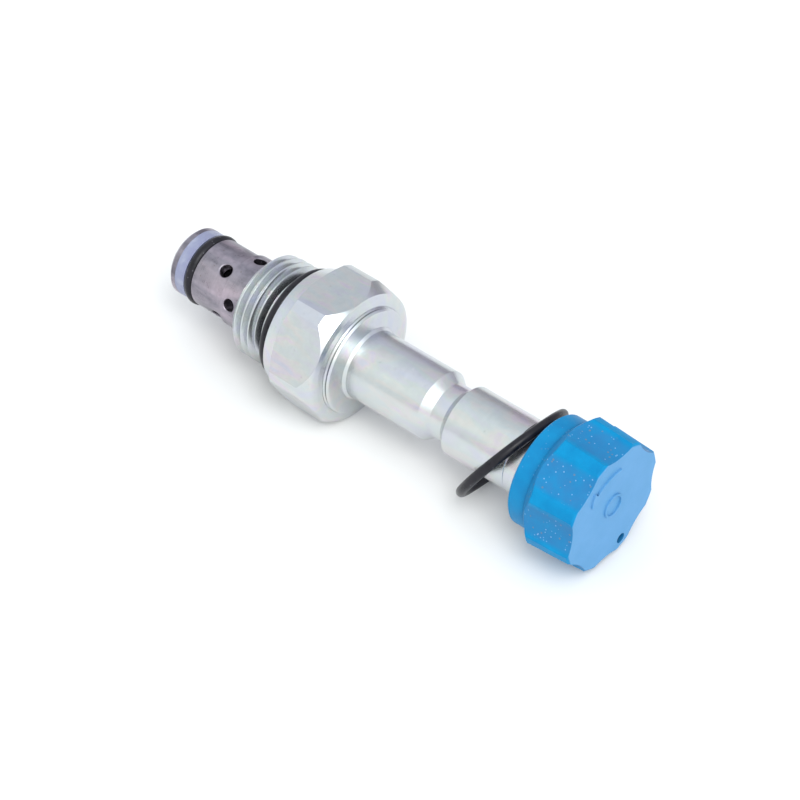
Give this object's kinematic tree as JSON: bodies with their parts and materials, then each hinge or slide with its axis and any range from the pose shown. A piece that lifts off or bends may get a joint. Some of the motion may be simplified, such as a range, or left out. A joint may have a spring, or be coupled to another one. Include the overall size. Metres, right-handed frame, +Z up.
{
  "type": "cartridge valve",
  "caption": "Screw-in solenoid cartridge valve without its coil: ported nose, threaded hexagon body, waisted tube, lobed plastic coil nut and a loose rubber ring.",
  "frame": {"origin": "on the valve's axis, in the plane of the sealing face under the hexagon", "axes": "+X along the axis from the nose to the coil nut; +Z up, square to two flats of the hexagon, one of which the valve lies on"},
  "size_m": [0.0926, 0.0266, 0.024],
  "materials": {
    "zinc_plate": "bright zinc plate, turned, with a faint rainbow tint",
    "cage_steel": "dull grey steel, finely turned",
    "white_ptfe": "smooth, faintly violet white",
    "black_rubber": "satin nitrile rubber",
    "brass": "machined",
    "bare_steel": "ground",
    "spring_steel": "drawn wire",
    "blue_plastic": "moulded, satin"
  },
  "bodies": {
    "root": {"valve_body": "zinc_plate", "cage_sleeve": "cage_steel", "nose_backup_ring": "white_ptfe", "nose_oring": "black_rubber", "body_oring": "black_rubber", "armature_tube": "zinc_plate", "tube_oring": "black_rubber", "pole_core": "zinc_plate", "core_oring": "black_rubber", "residual_shim": "brass", "return_spring": "spring_steel"},
    "armature": {"plunger": "bare_steel", "pilot_pin": "bare_steel"},
    "poppet": {"main_poppet": "bare_steel", "bleed_orifice": "brass", "poppet_spring": "spring_steel"},
    "loose_ring": {"coil_oring": "black_rubber"},
    "nut_seal": {"nut_seal_ring": "black_rubber"},
    "nut": {"coil_nut": "blue_plastic", "nut_insert": "brass"}
  },
  "joints": [
    {"name": "plunger_lift", "type": "slide", "parent": "root", "child": "armature", "axis": [1, 0, 0], "range_m": [0, 0.002], "stiffness_N_per_m": 1500, "springref_m": -0.004, "deforming": ["return_spring"]},
    {"name": "poppet_lift", "type": "slide", "parent": "root", "child": "poppet", "axis": [1, 0, 0], "range_m": [0, 0.0016], "deforming": ["poppet_spring"]},
    {"name": "ring_slide", "type": "slide", "parent": "root", "child": "loose_ring", "axis": [-1, 0, 0], "range_m": [0, 0.0245]},
    {"name": "nut_travel", "type": "slide", "parent": "root", "child": "nut_seal", "axis": [1, 0, 0], "range_m": [0, 0.00771]},
    {"name": "nut_spin", "type": "hinge", "parent": "nut_seal", "child": "nut", "pos_m": [0.058, 0, 0], "axis": [1, 0, 0], "range_deg": [0, 1850]}
  ],
  "couplings": [
    {"joint": "poppet_lift", "follows": "plunger_lift", "ratio": 0.8},
    {"joint": "nut_travel", "follows": "nut_spin", "m_per_rad": 0.00023873}
  ]
}
